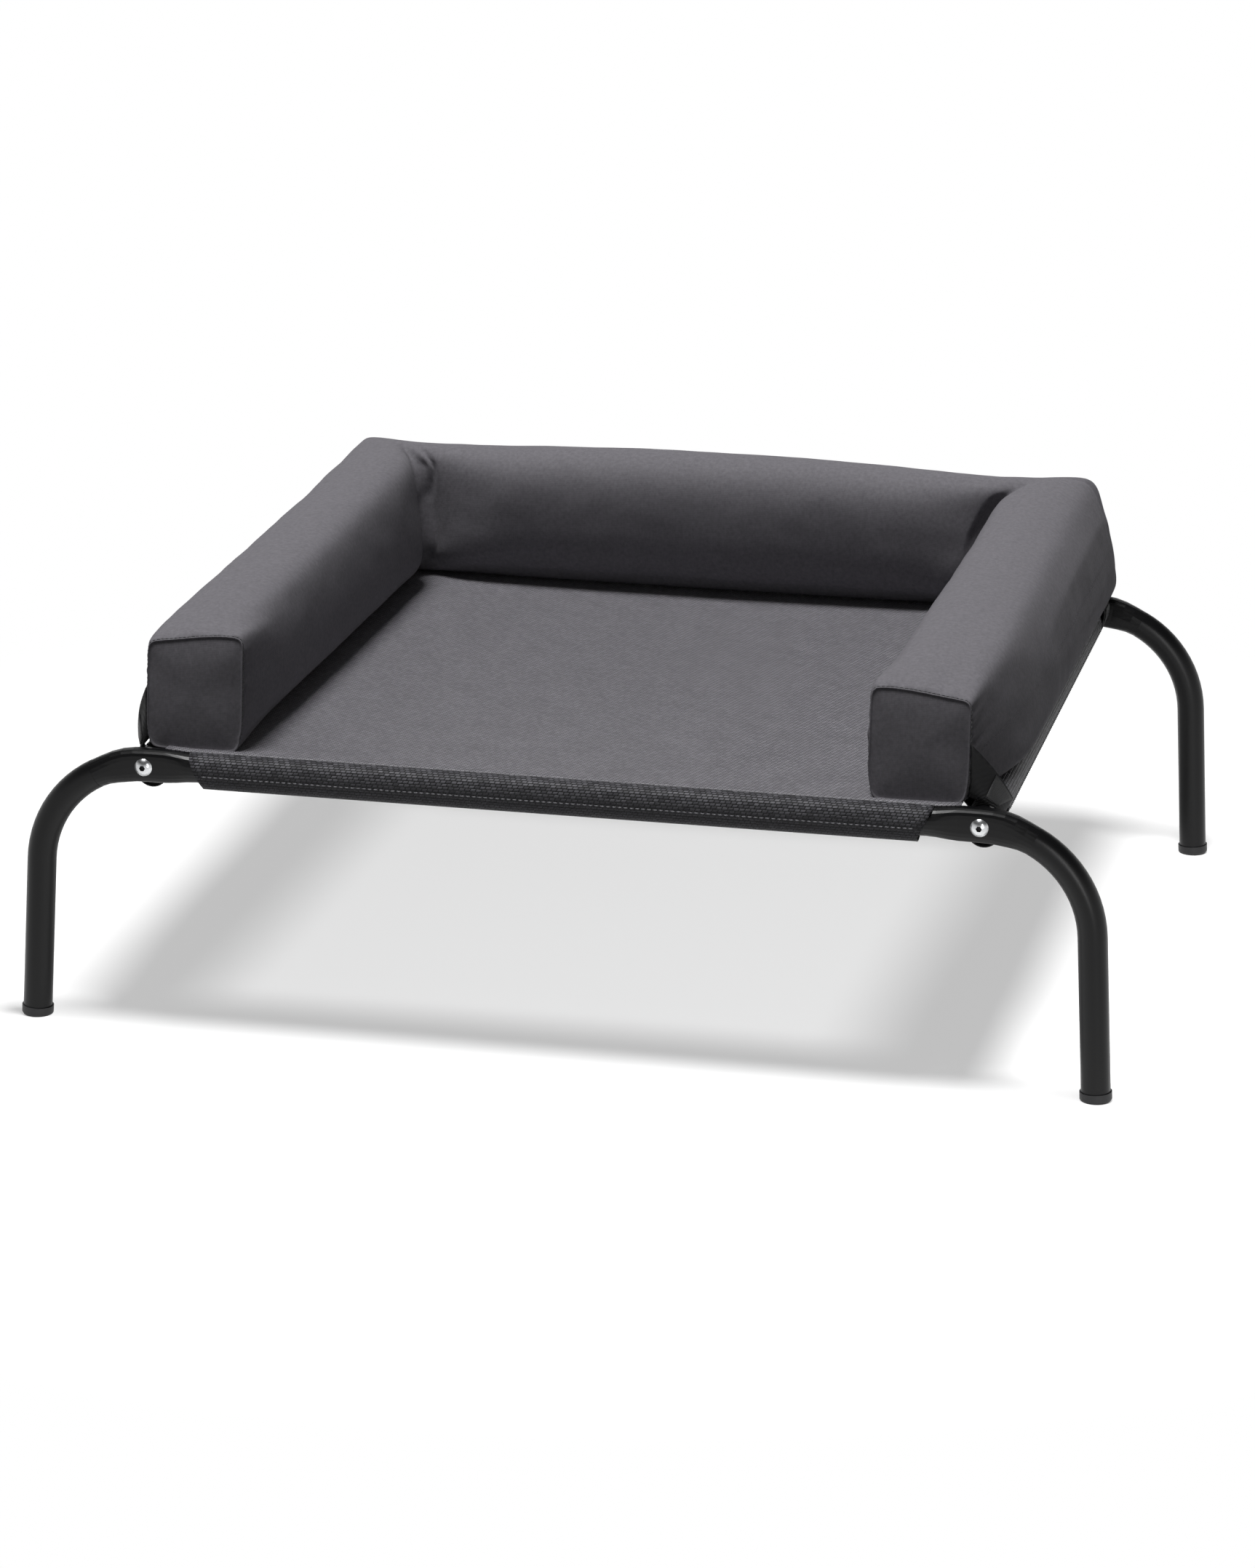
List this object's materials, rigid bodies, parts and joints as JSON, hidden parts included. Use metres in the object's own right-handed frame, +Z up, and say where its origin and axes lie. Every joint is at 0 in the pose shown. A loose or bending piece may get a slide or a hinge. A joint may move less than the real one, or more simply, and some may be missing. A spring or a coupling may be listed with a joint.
{
  "type": "raised dog cot",
  "caption": "Raised dog cot with bent tube leg frames, bolted side rails, a taut mesh bed and a padded bolster strapped round the back and sides.",
  "frame": {"origin": "on the floor under the middle of the cot's outline", "axes": "+X along the length, to the right of someone who stands in front; +Y from the open front to the back of the bolster; +Z up"},
  "size_m": [0.8346, 0.6376, 0.3288],
  "materials": {
    "frame": "satin black powder coat on steel tube",
    "zinc": "bright zinc plate",
    "plug": "moulded black polypropylene",
    "foot": "matt black moulded rubber",
    "mesh": "coated polyester mesh, dark grey",
    "cover": "smooth woven polyester, dark grey",
    "filling": "white polyester fibre filling",
    "webbing": "black polypropylene webbing",
    "hook": "black hook-and-loop tape"
  },
  "bodies": {
    "root": {"front_leg_frame": "frame", "rear_leg_frame": "frame", "left_side_rail": "frame", "right_side_rail": "frame", "rail_end_plugs": "plug", "rail_nuts": "zinc", "frame_bolts": "zinc", "foot_cap_front_left": "foot", "foot_cap_front_right": "foot", "foot_cap_rear_left": "foot", "foot_cap_rear_right": "foot", "bed_mesh": "mesh", "front_sleeve": "mesh", "rear_sleeve": "mesh", "left_sleeve": "mesh", "right_sleeve": "mesh", "left_arm_cover": "cover", "back_cover": "cover", "right_arm_cover": "cover", "left_end_panel": "cover", "right_end_panel": "cover", "left_arm_core": "filling", "back_core": "filling", "right_arm_core": "filling", "strap_front_left": "webbing", "strap_front_right": "webbing", "strap_rear_left": "webbing", "strap_rear_right": "webbing", "strap_hook_patches": "hook"}
  },
  "joints": []
}
